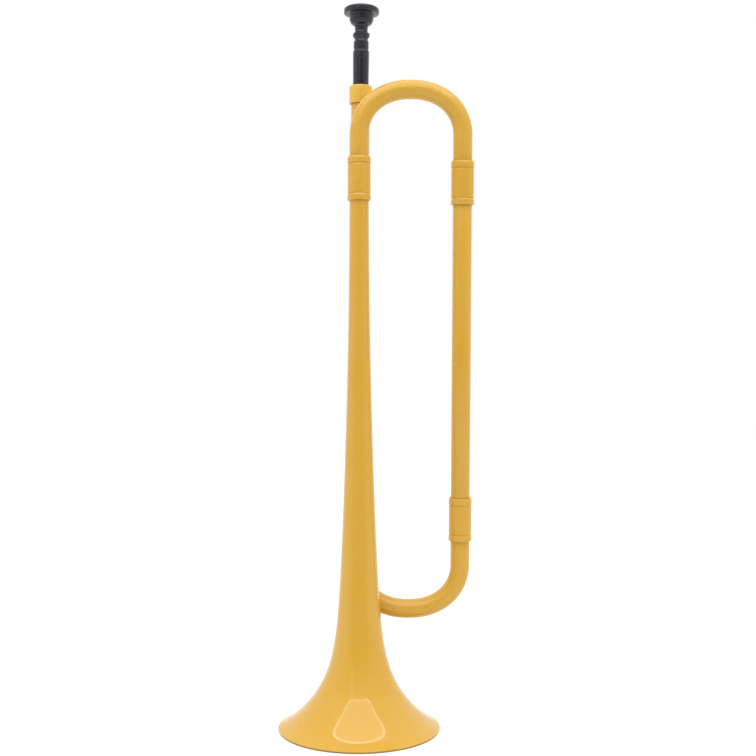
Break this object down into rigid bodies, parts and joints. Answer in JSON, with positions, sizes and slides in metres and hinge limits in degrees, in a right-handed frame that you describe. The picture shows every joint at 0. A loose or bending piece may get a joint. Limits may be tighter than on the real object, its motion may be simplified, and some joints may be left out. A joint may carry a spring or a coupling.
{
  "type": "bugle",
  "caption": "Valveless plastic bugle with a flared bell, U-shaped bows joined by ribbed sleeves, and a black cup mouthpiece that pulls out of its receiver.",
  "frame": {"origin": "under the middle of the bounding box, on the plane that the bell's rim stands on", "axes": "+Z along the bell's axis from its rim towards the mouthpiece end, +X from the bell to the straight tube, +Y to the back, where the leadpipe is"},
  "size_m": [0.1471, 0.1206, 0.5469],
  "materials": {
    "yellow_plastic": "moulded ABS, warm golden yellow, high gloss, slightly translucent at thin edges",
    "black_plastic": "moulded ABS, black with a cool tinge, semi-gloss, fine turning lines"
  },
  "bodies": {
    "instrument": {"bell": "yellow_plastic", "bell_tail_sleeve": "yellow_plastic", "top_bow": "yellow_plastic", "upper_tube_sleeve": "yellow_plastic", "straight_tube": "yellow_plastic", "lower_tube_sleeve": "yellow_plastic", "bottom_bow": "yellow_plastic", "leadpipe_sleeve": "yellow_plastic", "leadpipe": "yellow_plastic", "mouthpiece_receiver": "yellow_plastic", "lower_brace": "yellow_plastic", "upper_brace": "yellow_plastic"},
    "mouthpiece": {"mouthpiece": "black_plastic"}
  },
  "joints": [
    {"name": "mouthpiece_pull", "type": "slide", "parent": "instrument", "child": "mouthpiece", "axis": [0.0105, 0, 0.9999], "range_m": [0, 0.03]}
  ]
}
